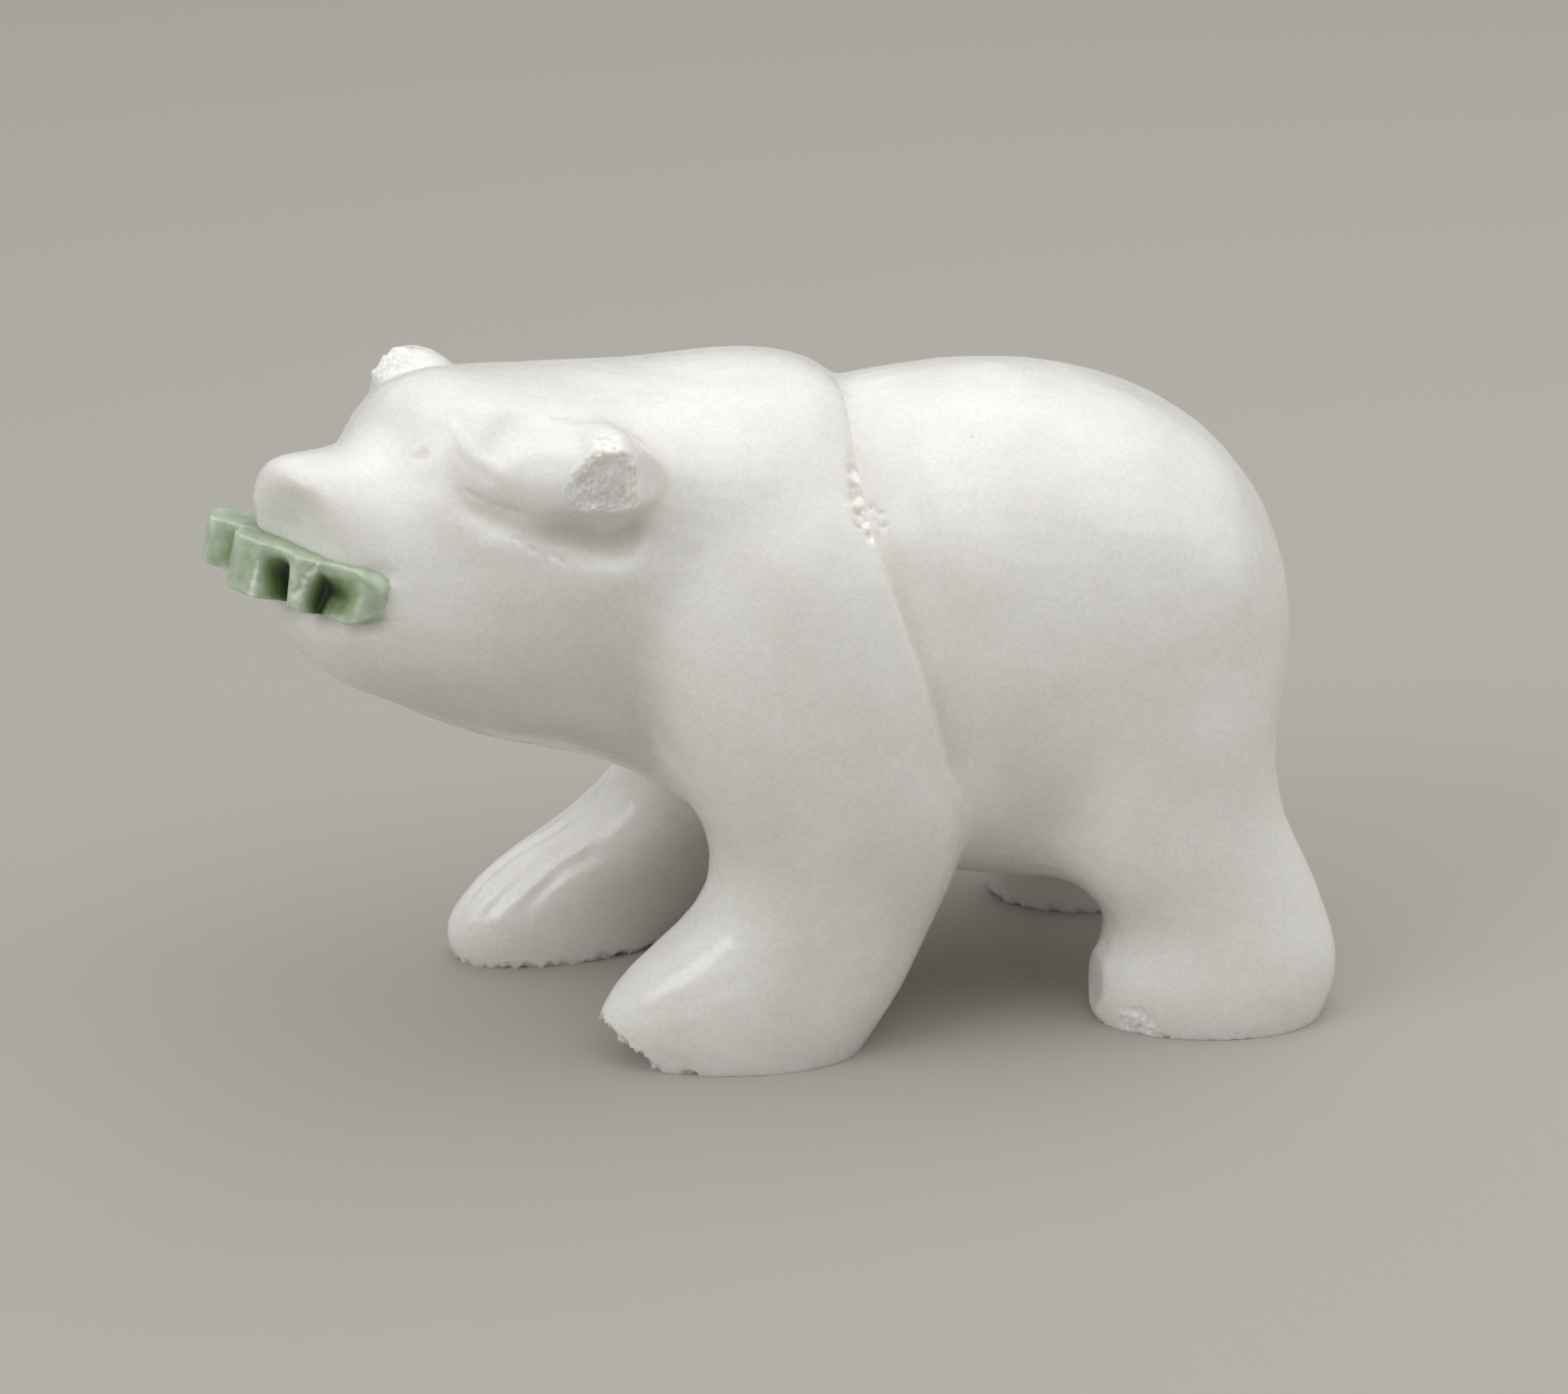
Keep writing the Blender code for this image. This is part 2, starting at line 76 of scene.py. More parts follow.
# Grooves cut with a small wheel: the line, how deep (below nought for a rim that stands up), how wide to
# each side, and over what share of the line its ends run out.
BROW_GROOVE = (((-39.6, -18.6, 71.2), (-35.8, -21.3, 68.4), (-32.6, -21.9, 66.4), (-29.0, -21.8, 65.1),
                (-25.4, -21.2, 63.7), (-22.7, -20.2, 62.2), (-20.6, -19.6, 61.4)), 0.3, 2.7)
BROW_RIM = (((-37.3, -15.8, 75.0), (-36.4, -17.4, 74.1), (-35.6, -18.8, 72.9), (-34.1, -19.9, 71.8),
             (-32.6, -20.5, 70.8), (-31.0, -21.0, 69.7), (-29.4, -21.1, 69.0), (-27.6, -21.0, 69.0)),
            -0.3, 1.5)
WHEEL_MARK = (((-35.9, -21.1, 69.2), (-34.1, -21.6, 67.9), (-32.8, -21.8, 67.2), (-31.0, -21.8, 66.7),
               (-28.5, -21.7, 66.1), (-26.6, -21.7, 66.2), (-24.9, -21.9, 65.4)), 0.3, 0.5)
EAR_ROOT = (((-26.0, -15.4, 74.3), (-24.4, -15.2, 73.9), (-22.2, -15.0, 73.6), (-19.6, -15.4, 72.7),
             (-17.4, -16.4, 71.3), (-16.2, -18.2, 69.3), (-16.0, -19.6, 67.0), (-16.6, -20.2, 64.4)),
            0.15, 0.9)
TOE_GROOVES = (
    (((-19.6, 13.6, 16.4), (-25.0, 14.4, 12.7), (-28.5, 14.2, 10.5), (-31.5, 13.1, 8.2),
      (-33.4, 12.0, 5.9)), 0.36, 1.5, 0.25),
    (((-17.4, 10.1, 17.2), (-22.5, 10.0, 13.3), (-26.1, 9.5, 10.7), (-29.3, 9.3, 8.2),
      (-31.6, 9.2, 5.4)), 0.36, 1.5, 0.25),
    (((-17.0, 7.8, 14.4), (-20.0, 8.1, 12.8), (-22.1, 8.2, 11.8), (-24.6, 8.0, 9.7),
      (-27.1, 7.8, 7.2)), 0.35, 1.5, 0.25),
    (((-7.6, -20.6, 18.0), (-11.6, -20.2, 14.3), (-16.1, -18.6, 11.0), (-19.6, -16.6, 8.0)),
     0.10, 1.5, 0.25),
    (((-4.0, -24.3, 14.9), (-7.6, -23.9, 11.8), (-13.9, -22.2, 9.1), (-18.4, -19.6, 6.6)),
     0.08, 1.5, 0.25),
)
HIND_EDGE = (((36.0, -19.7, 10.7), (35.7, -19.4, 9.3), (35.1, -19.4, 7.7), (34.6, -19.4, 6.0),
              (34.4, -18.8, 3.7), (34.4, -18.8, 2.0), (34.6, -19.4, 0.3)), -0.25, 1.5)
CHEEK_MARKS = (
    (((-31.7, -22.2, 63.9), (-30.7, -22.2, 63.5), (-29.6, -22.2, 63.0)), 0.2, 0.5),
    (((-30.9, -22.2, 62.9), (-29.7, -22.2, 62.5), (-28.4, -22.2, 62.1)), 0.2, 0.5),
    (((-27.2, -22.0, 61.6), (-26.2, -21.9, 61.0), (-25.2, -21.8, 60.3)), 0.2, 0.5),
)
# What is left of a groove's depth where its line starts and ends, before it is eased.
BLUNT_END = 0.2
# The near eye is a small dimple: its middle, how deep and how wide to each side.
EYE = (-39.7, -17.6, 71.8)
EYE_DEPTH = 0.3
EYE_WIDTH = 1.3

# The ledge behind the near shoulder: its line, and how far back its edge is at each height.
LEDGE_LINE = ((9.0, 2.4, 71.0), (7.6, -4.9, 71.4), (7.0, -8.8, 70.5), (7.1, -14.3, 66.8),
              (7.3, -17.3, 63.7), (8.0, -20.5, 58.9), (8.9, -22.1, 55.1), (10.8, -23.3, 49.9),
              (12.5, -24.0, 43.9), (14.2, -24.0, 37.5), (16.0, -23.2, 31.5), (18.6, -21.0, 26.4))
LEDGE_EDGE = ((26, 19.0), (34, 15.2), (44, 12.4), (55, 8.9), (62, 7.4), (67, 7.0), (71, 7.6))
# The flank steps down by the drop over the slope's width, and comes up again over the reach. The ledge
# stops a little past the backbone, and each of its ends runs out over a sixth of it.
LEDGE_DROP = 1.5
LEDGE_SLOPE = 0.8
LEDGE_START = 0.2
LEDGE_REACH = 8
LEDGE_STOP = 4
LEDGE_ENDS = 6

# Flats: where the plane passes, which way it faces, how far it reaches, what share of the stone behind
# it is built up to it, and how rough it stayed. First the ones that were ground and polished.
EAR_DISH = ((-27.5, -20.0, 72.3), (-0.09, -0.44, 0.89), 6.2, 1.0)
EAR_FLANK = ((-27.5, -23.1, 69.0), (-0.31, -0.94, 0.10), 5.2, 1.0)
EAR_UNDER = ((-21.0, -20.9, 64.2), (0.0, -0.80, -0.60), 3.8, 1.0)
EAR_BACK = ((-16.2, -20.0, 68.5), (0.68, -0.70, 0.20), 4.2, 1.0)
EAR_RIM = ((-27.0, -22.9, 69.9), (-0.20, -0.76, 0.62), 4.5)
FAR_EAR_TOP = ((-35.4, 6.2, 75.4), (0.355, 0.291, 0.888), 4.6)
UPPER_LIP = ((-50.7, -20.0, 62.5), (-0.808, -0.585, -0.04), 9.5)
NOSE_UNDER = ((-55.5, -13.0, 63.95), (-0.846, -0.039, -0.528), 5.0)
HIND_FACET = ((34.4, -17.3, 4.8), (-1.0, -0.02, 0.02), 4.2, 1.0)
# Then the ones that broke or were left from the saw.
EAR_TOP = ((-21.6, -22.2, 73.3), (-0.02, -0.59, 0.81), 3.0, 0.0, 0.08)
EAR_FACE = ((-20.5, -22.7, 69.1), (0.02, -0.985, -0.17), 5.7, 0.0, 0.1)
FAR_EAR = ((-40.5, 6.9, 74.6), (-0.67, 0.60, 0.43), 3.4, 1.0, 0.12)
HIND_BREAK = ((37.7, -23.1, 1.7), (-0.60, -0.78, -0.18), 3.0, 0.0, 0.12)
TOE_CUT = ((-19.4, -17.0, 3.0), (-0.665, -0.16, -0.729), 7.0, 0.0, 0.2)
# Two waves make a rough flat uneven.
FINE_ROUGH = 0.8
COARSE_ROUGH = 2.3
# Where the ground flats are blended in by hand: the middle, how far, and how strongly.
SOFT_PLACES = (((-25.0, -20.0, 69.5), 11.0, 0.2), ((-26.5, -21.5, 63.8), 7.0, 0.5),
               ((-51.0, -18.0, 66.0), 13.0, 0.5))
SOFT_ROUNDS = 60

# Chips: the middle of each scoop and how big it is, then a place deep in the stone behind them all.
SHOULDER_CHIPS = ((((6.9, -18.1, 64.6), 1.7), ((7.4, -19.5, 62.6), 1.7), ((7.9, -20.6, 60.9), 1.5),
                   ((6.8, -15.9, 66.4), 1.2), ((8.5, -17.5, 62.7), 1.5), ((8.9, -18.8, 60.9), 1.4)),
                  (10.0, -5.0, 56.0))
TOE_CHIPS = ((((-22.6, -16.4, 2.6), 1.5), ((-21.4, -19.0, 1.6), 1.3), ((-19.8, -20.4, 0.4), 1.3),
              ((-17.6, -22.0, -0.4), 1.2), ((-22.4, -13.6, 1.4), 1.5), ((-15.6, -22.6, -0.5), 1.1),
              ((-22.9, -17.9, 4.6), 1.2)),
             (-10.0, -16.0, 6.0))
FAR_TOE_CHIPS = ((((-24.0, 6.3, -0.3), 1.5), ((-22.0, 6.6, -0.5), 1.3)),
                 (-20.0, 18.0, 6.0))
# Runs of small chips along the lower edges of the paws, each with its place deep in the stone.
SOLE_RUNS = (
    (((-21.2, -11.0), (-20.6, -19.0), (-15.2, -22.2), (-12.0, -23.5), (-7.0, -24.8)),
     (-8.0, -16.0, 5.0)),
    (((-35.1, 16.6), (-35.1, 12.4), (-33.4, 9.5), (-30.0, 7.9), (-25.6, 7.0)),
     (-20.0, 16.0, 6.0)),
    (((-25.2, 6.6), (-21.6, 6.7), (-18.2, 7.4), (-14.6, 8.5), (-11.0, 10.2), (-8.4, 12.2)),
     (-18.0, 17.0, 6.0)),
    (((33.8, -17.0), (34.8, -21.6), (38.0, -24.3), (43.0, -26.5), (50.0, -27.4)),
     (48.0, -17.0, 6.0)),
    (((31.2, 18.0), (31.7, 13.8), (35.2, 10.2), (40.0, 8.2), (46.0, 7.2)),
     (45.0, 18.0, 6.0)),
)
# A sole's chips are at least this big, and some are bigger by up to the spread.
SMALL_CHIP = 0.45
CHIP_SPREAD = 0.85
SOLE_ROUGHNESS = 0.2
# A point inside a scoop moves out of it by this step, at most this often. The scoops are uneven in waves
# as long as the grain.
CHIP_STEP = 0.05
CHIP_ROUNDS = 90
CHIP_GRAIN = 1.2

# Stone counts as broken in full where it lost this much.
BROKEN_DEPTH = 0.1
FISH_BROKEN_DEPTH = 0.16
# The grains of broken quartz stand out by about this much.
SUGAR = 0.03
# The hollows are painted as shade: warm brown on the bear's head, a deeper green on the fish.
# A hollow is measured against the same stone after these rounds of smoothing, and counts in full from
# this depth. On the bear it counts only ahead of x = 0, in full from this far ahead.
HOLLOW_ROUNDS = 90
HOLLOW_DEPTH = 0.35
FISH_HOLLOW_ROUNDS = 130
FISH_HOLLOW_DEPTH = 0.4
HEAD_START = 8
# Lips this close to the fish are drawn on to it, a little way in, and the ones between that and the
# reach are drawn a part of the way.
LIP_INTO = 0.05
LIP_CLOSE = 0.9
LIP_REACH = 1.8

# The fish, as it lies in the mouth: where its nose is, and its own directions, which are along it from
# nose to tail, out of the mouth, and up through its thickness.
FISH_AT = (-46.56, -24.64, 59.0)
FISH_ALONG = (-0.58555, 0.80594, 0.08716)
FISH_AHEAD = (-0.77676, -0.58858, 0.2241)
FISH_THICK = (0.23191, 0.06352, 0.97066)
FISH_DEPTH = 5.9
FISH_OUTLINE = (
    (-1.18, -1.9), (-1.1, -1.0), (-0.75, -0.1), (-0.1, 0.65), (0.9, 1.3), (2.2, 2.1), (3.3, 3.0),
    (4.4, 4.0), (5.5, 4.75), (6.8, 4.6), (8.2, 4.4), (9.4, 4.7), (10.6, 5.3), (12.2, 5.6),
    (13.6, 5.9), (15.0, 4.94), (15.6, 3.6), (16.9, 3.46), (18.6, 4.6), (19.8, 4.3), (21.6, 2.37),
    (21.7, 0.0), (19.15, -1.38), (15.8, -2.17), (9.87, -2.76), (3.95, -2.86), (0.4, -2.86), (-0.6, -2.6))
# Its tail gets thinner from below: by what share, from where along it, and over what length.
TAIL_THINNER = 0.45
TAIL_START = 11.8
TAIL_LENGTH = 9.9
# Its nose is rounded: from the tip, over what length, and how far.
NOSE_TIP = -1.2
NOSE_LENGTH = 2.8
NOSE_ROUND = 0.85
# How deep the two notches in its front are along it, at its underside. They run out upwards over the
# rise, up to the top, and backwards over the ease, up to the back. The fin between them leans by a part
# of the height, which changes along the fish.
FISH_NOTCHES = ((-0.4, 0.0), (0.9, 0.5), (2.2, 1.2), (3.3, 2.0), (4.2, 2.8), (4.45, 1.6), (4.75, 0.0),
                (6.4, 0.0), (7.0, 1.5), (7.8, 2.6), (8.8, 2.6), (9.8, 1.2), (10.5, 0.0))
NOTCH_TOP = 2.8
NOTCH_RISE = 3.4
NOTCH_BACK = -2.0
NOTCH_EASE = 3.0
FIN_LEAN = ((4.5, 0.2), (6.5, -0.15))
# Chips down the edge of that fin and down the crest, in the fish's own directions, and how uneven.
FIN_CHIPS = ((((5.0, 4.9, -3.0), 1.0), ((4.8, 4.8, -2.1), 0.85), ((4.6, 4.7, -1.2), 0.9),
              ((4.4, 4.55, -0.3), 0.8), ((4.2, 4.4, 0.5), 0.8), ((4.0, 4.25, 1.3), 0.7),
              ((3.8, 4.1, 2.0), 0.65), ((3.6, 3.95, 2.7), 0.6), ((5.6, 5.3, -2.5), 0.6),
              ((5.9, 5.5, -3.3), 0.9)),
             (8.0, 0.0, 0.0), 0.25)
# The crest's chips are frosted pale in the material, which also paints the highlight along the crest.
CREST_CHIPS = (tuple(((10.3 + 0.05 * k, 5.62, 2.3 - 0.45 * k), 0.42) for k in range(12)),
               (12.0, 0.0, 0.0), 0.3)


def linear(code):
    """An sRGB hex colour as linear light, with full alpha."""
    parts = [int(code[k:k + 2], 16) / 255 for k in (0, 2, 4)]
    return [c / 12.92 if c <= 0.04045 else ((c + 0.055) / 1.055) ** 2.4 for c in parts] + [1.0]


def faded(share):
    """Eases a share from 0 to 1, level at both ends."""
    share = np.clip(share, 0.0, 1.0)
    return share * share * (3.0 - 2.0 * share)


def unit(way):
    """The direction with a length of 1."""
    way = np.array(way, float)
    return way / np.linalg.norm(way)


def points_of(mesh, scale=MM):
    """The mesh's points, one in a row, in millimetres unless the mesh is in them already."""
    values = np.empty(len(mesh.vertices) * 3, np.float32)
    mesh.vertices.foreach_get("co", values)
    return values.reshape(-1, 3).astype(float) / scale


def put_points(mesh, points):
    """Moves the mesh's points to these places."""
    mesh.vertices.foreach_set("co", (points * MM).astype(np.float32).ravel())
    mesh.update()


def normals_of(mesh):
    """Which way the surface faces at each point."""
    values = np.empty(len(mesh.vertices) * 3, np.float32)
    mesh.vertex_normals.foreach_get("vector", values)
    return values.reshape(-1, 3).astype(float)


def relaxed(mesh, rounds, share, back=0.0):
    """Draws each point towards its neighbours by its share, and then back by a part of that share, which
    is below nought and keeps the stone from shrinking."""
    edges = np.empty(len(mesh.edges) * 2, np.int32)
    mesh.edges.foreach_get("vertices", edges)
    near, far = edges.reshape(-1, 2).T
    points = points_of(mesh)
    count = np.bincount(edges, minlength=len(points))
    share = np.broadcast_to(share, len(points))
    for _ in range(rounds):
        for part in (share, back * share):
            if not np.any(part):
                continue
            for k in range(3):
                total = np.bincount(near, points[far, k], len(points))
                total += np.bincount(far, points[near, k], len(points))
                points[:, k] += part * (total / count - points[:, k])
    return points


def baked(data, kind=None, **settings):
    """A mesh made from a mesh or a curve, after one modifier if a kind is given."""
    carrier = bpy.data.objects.new("carrier", data)
    bpy.context.scene.collection.objects.link(carrier)
    if kind:
        modifier = carrier.modifiers.new("step", kind)
        for name, value in settings.items():
            setattr(modifier, name, value)
    graph = bpy.context.evaluated_depsgraph_get()
    result = bpy.data.meshes.new_from_object(carrier.evaluated_get(graph))
    bpy.data.objects.remove(carrier)
    return result


def thinned(mesh, triangles):
    """The mesh with about that many triangles, fewer where it is flat."""
    mesh = baked(mesh, "TRIANGULATE")
    return baked(mesh, "DECIMATE", ratio=min(1.0, triangles / len(mesh.polygons)))


def rippled(points, wavelength, seed):
    """A smooth uneven field between about -1 and 1, as wide as the wavelength."""
    waves = 14
    chance = np.random.default_rng(seed)
    ways = chance.normal(size=(waves, 3))
    ways *= (2 * math.pi / wavelength / np.linalg.norm(ways, axis=1))[:, None]
    starts = chance.uniform(0, 2 * math.pi, waves)
    return np.cos(points @ ways.T + starts).sum(axis=1) / math.sqrt(waves)


def near_line(points, line, reach):
    """How far each point is from the line, and how far along it, from 0 to 1, it is nearest. Points out
    of reach are given as far away."""
    line = np.array(line, float)
    gap, along = np.full(len(points), 1e6), np.zeros(len(points))
    close = np.all((points > line.min(0) - reach) & (points < line.max(0) + reach), axis=1)
    close = np.flatnonzero(close)
    lengths = np.linalg.norm(np.diff(line, axis=0), axis=1)
    starts = np.concatenate(([0.0], np.cumsum(lengths)))
    for start, end, before, length in zip(line[:-1], line[1:], starts, lengths):
        share = np.clip((points[close] - start) @ (end - start) / length ** 2, 0, 1)
        away = np.linalg.norm(points[close] - start - share[:, None] * (end - start), axis=1)
        closer = away < gap[close]
        gap[close[closer]] = away[closer]
        along[close[closer]] = (before + share[closer] * length) / starts[-1]
    return gap, along


def curved(line, steps=5):
    """The line with points between, on one smooth curve."""
    line = np.array(line, float)
    full = np.vstack((2 * line[0] - line[1], line, 2 * line[-1] - line[-2]))
    t = np.linspace(0, 1, steps, endpoint=False)[:, None]
    runs = [0.5 * (2 * b + (c - a) * t + (2 * a - 5 * b + 4 * c - d) * t ** 2
                   + (3 * b - a - 3 * c + d) * t ** 3)
            for a, b, c, d in zip(full[:-3], full[1:-2], full[2:-1], full[3:])]
    return np.vstack(runs + [line[-1:]])


def pressed(points, normals, line, depth, width, ends=0.15):
    """Presses a groove along a line, or raises a rim where the depth is below nought."""
    gap, along = near_line(points, curved(line), width)
    tool = depth * faded(1 - gap / width) * faded(np.minimum(along, 1 - along) / ends + BLUNT_END)
    return points - tool[:, None] * normals


def dimpled(points, normals, middle, depth, width):
    """Presses a small round hollow."""
    gap = np.linalg.norm(points - middle, axis=1)
    return points - (depth * faded(1 - gap / width))[:, None] * normals


def ledged(points, normals):
    """Lets the flank down behind the shoulder, so that the shoulder ends in an edge."""
    gap, along = near_line(points, curved(LEDGE_LINE), LEDGE_REACH)
    edge = np.interp(points[:, 2], *zip(*LEDGE_EDGE))
    behind = faded((points[:, 0] - edge + LEDGE_START) / LEDGE_SLOPE) * (points[:, 1] < LEDGE_STOP)
    ends = faded(np.minimum(along, 1 - along) * LEDGE_ENDS)
    drop = LEDGE_DROP * behind * faded(1 - gap / LEDGE_REACH) * ends
    return points - drop[:, None] * normals


def chipped(points, chips, deep, roughness=0.12):
    """Scoops chips out: points inside a scoop's ball move towards the deep place until they are out."""
    middles = np.array([middle for middle, _ in chips])
    sizes = np.array([size for _, size in chips])
    reach = sizes.max() * 1.4
    near = np.all((points > middles.min(0) - reach) & (points < middles.max(0) + reach), axis=1)
    near = np.flatnonzero(near)
    uneven = 1 + roughness * rippled(points[near], CHIP_GRAIN, 7)
    for _ in range(CHIP_ROUNDS):
        gaps = np.linalg.norm(points[near][:, None] - middles, axis=2) / sizes
        inside = gaps.min(axis=1) < uneven
        if not inside.any():
            break
        near, uneven = near[inside], uneven[inside]
        way = deep - points[near]
        points[near] += CHIP_STEP * way / np.linalg.norm(way, axis=1)[:, None]
    return points


def sole_chips(run):
    """Small chips of many sizes along the lower edge of a paw, which was left as it broke. Each has its
    middle on the floor or up to half its size below it, and the next one follows close by."""
    chance = np.random.default_rng(len(run) + int(10 * abs(run[0][0])))
    line = curved([(x, y, 0.0) for x, y in run], 8)
    lengths = np.concatenate(([0.0], np.cumsum(np.linalg.norm(np.diff(line, axis=0), axis=1))))
    chips, along = [], 0.0
    while along < lengths[-1]:
        size = SMALL_CHIP + CHIP_SPREAD * chance.random() ** 2
        middle = [np.interp(along, lengths, line[:, k]) for k in range(2)]
        chips.append(((*middle, chance.uniform(-0.5, 0.0) * size), size))
        along += size * chance.uniform(0.5, 1.6)
    return chips


def flattened(points, middle, way, reach, filled=0.0, rough=0.0):
    """Grinds a flat: what stands proud of its plane is taken off, and the filled share of what lies behind
    the plane is built up to it, in full down to 1.5 mm and not at all from 4.5 mm. The flat fades out
    over the outer half of its reach."""
    way = unit(way)
    near = np.flatnonzero(np.all(np.abs(points - middle) < reach, axis=1))
    away = points[near] - middle
    proud = away @ way
    flat = np.linalg.norm(away - proud[:, None] * way, axis=1)
    built = filled * faded(1.5 + proud / 3.0)
    share = faded((reach - flat) / (0.5 * reach)) * np.where(proud > 0, 1.0, built)
    uneven = rippled(points[near], FINE_ROUGH, 5) + rippled(points[near], COARSE_ROUGH, 6)
    moved = share * (proud - rough * uneven)
    points[near] -= moved[:, None] * way
    return points


def deep_soles():
    """A copy of the bear's solid with its soles drawn down, so that smoothing leaves them their edges."""
    form = bmesh.new()
    form.from_mesh(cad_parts["polar_bear"].data)
    bmesh.ops.remove_doubles(form, verts=form.verts, dist=1e-7)
    soles = [face for face in form.faces if face.calc_center_median().z < 1e-6 and face.normal.z < -0.9]
    drawn = bmesh.ops.extrude_face_region(form, geom=soles)
    for item in drawn["geom"]:
        if isinstance(item, bmesh.types.BMVert):
            item.co.z -= SOLE_DRAW * MM
    bmesh.ops.delete(form, geom=soles, context="FACES")
    mesh = bpy.data.meshes.new("polar_bear_stone")
    form.to_mesh(mesh)
    form.free()
    return mesh


def stood(mesh):
    """Cuts the soles level with the floor again."""
    form = bmesh.new()
    form.from_mesh(mesh)
    bmesh.ops.bisect_plane(form, geom=form.verts[:] + form.edges[:] + form.faces[:], dist=1e-6,
                           plane_co=(0, 0, 0), plane_no=(0, 0, 1), clear_inner=True)
    rims = [edge for edge in form.edges if edge.is_boundary]
    bmesh.ops.triangle_fill(form, edges=rims, use_beauty=True, normal=(0, 0, -1))
    form.to_mesh(mesh)
    form.free()
    return mesh


def noted(mesh, name, values):
    """Keeps a number from -1 to 1 at each point, for the material."""
    kept = mesh.attributes.new(name, "FLOAT", "POINT")
    kept.data.foreach_set("value", np.clip(values, -1, 1).astype(np.float32))


def hollows(mesh, rounds):
    """How far each point lies in a hollow, or below nought on a ridge, in millimetres."""
    return ((relaxed(mesh, rounds, PULL) - points_of(mesh)) * normals_of(mesh)).sum(axis=1)


def hugged(points, fish):
    """Draws the lips on to the fish, which was glued tight into its slot."""
    tree = BVHTree.FromObject(fish, bpy.context.evaluated_depsgraph_get())
    corners = points_of(fish.data)
    low, high = corners.min(0) - LIP_REACH, corners.max(0) + LIP_REACH
    for k in np.flatnonzero(np.all((points > low) & (points < high), axis=1)):
        place, way, _, gap = tree.find_nearest(Vector(points[k] * MM))
        gap = gap / MM
        if (Vector(points[k] * MM) - place).dot(way) < 0:
            gap = 0.0
        share = 1 - faded((gap - LIP_CLOSE) / (LIP_REACH - LIP_CLOSE))
        onto = np.array(place) / MM - LIP_INTO * np.array(way)
        points[k] += share * (onto - points[k])
    return points


def bear_mesh(fish):
    """The bear, cut and polished first and then broken, from its solid."""
    mesh = baked(deep_soles(), "REMESH", mode="VOXEL", voxel_size=BEAR_VOXEL * MM)
    points = relaxed(mesh, BEAR_ROUNDS, PULL, BACK)
    for flat in (EAR_DISH, EAR_FLANK, EAR_UNDER, EAR_BACK, EAR_RIM, FAR_EAR_TOP, UPPER_LIP, NOSE_UNDER):
        points = flattened(points, *flat)
    put_points(mesh, points)
    soft = np.max([strength * faded(2 - 2 * np.linalg.norm(points - middle, axis=1) / reach)
                   for middle, reach, strength in SOFT_PLACES], axis=0)
    put_points(mesh, relaxed(mesh, SOFT_ROUNDS, soft))

    points, normals = points_of(mesh), normals_of(mesh)
    points = ledged(points, normals)
    for groove in (BROW_GROOVE, BROW_RIM, WHEEL_MARK, EAR_ROOT, *TOE_GROOVES):
        points = pressed(points, normals, *groove)
    points = dimpled(points, normals, EYE, EYE_DEPTH, EYE_WIDTH)
    points += (WAVE_DEPTH * rippled(points, WAVE_LENGTH, 1))[:, None] * normals
    points = pressed(points, normals, *HIND_EDGE)
    points = flattened(points, *HIND_FACET)
    polished = points.copy()

    for mark in CHEEK_MARKS:
        points = pressed(points, normals, *mark)
    for flat in (EAR_TOP, EAR_FACE, FAR_EAR, HIND_BREAK, TOE_CUT):
        points = flattened(points, *flat)
    for chips in (SHOULDER_CHIPS, TOE_CHIPS, FAR_TOE_CHIPS):
        points = chipped(points, *chips)
    for run, deep in SOLE_RUNS:
        points = chipped(points, sole_chips(run), deep, SOLE_ROUGHNESS)
    broken = np.clip(np.linalg.norm(points - polished, axis=1) / BROKEN_DEPTH, 0, 1)
    noted(mesh, "broken", broken)
    sugar = np.random.default_rng(2).normal(0, SUGAR, len(points))
    points += (sugar * broken)[:, None] * normals
    points = hugged(points, fish)

    # All but the drawn soles stays inside the solid's box.
    low, high = np.array(cad_box) / MM
    put_points(mesh, np.clip(points, low - (0, 0, 2 * SOLE_DRAW), high))
    # Painted shade: how deep each point of the head lies in a hollow, which the material turns warm brown.
    hollow_shade = hollows(mesh, HOLLOW_ROUNDS) / HOLLOW_DEPTH * faded(-points[:, 0] / HEAD_START)
    noted(mesh, "hollow", hollow_shade)
    # Clouds of milkier and clearer stone, most of them 14 mm wide and some 5 mm.
    noted(mesh, "cloud", 0.7 * rippled(points, 14.0, 3) + 0.3 * rippled(points, 5.0, 4))
    return stood(thinned(mesh, BEAR_TRIANGLES))


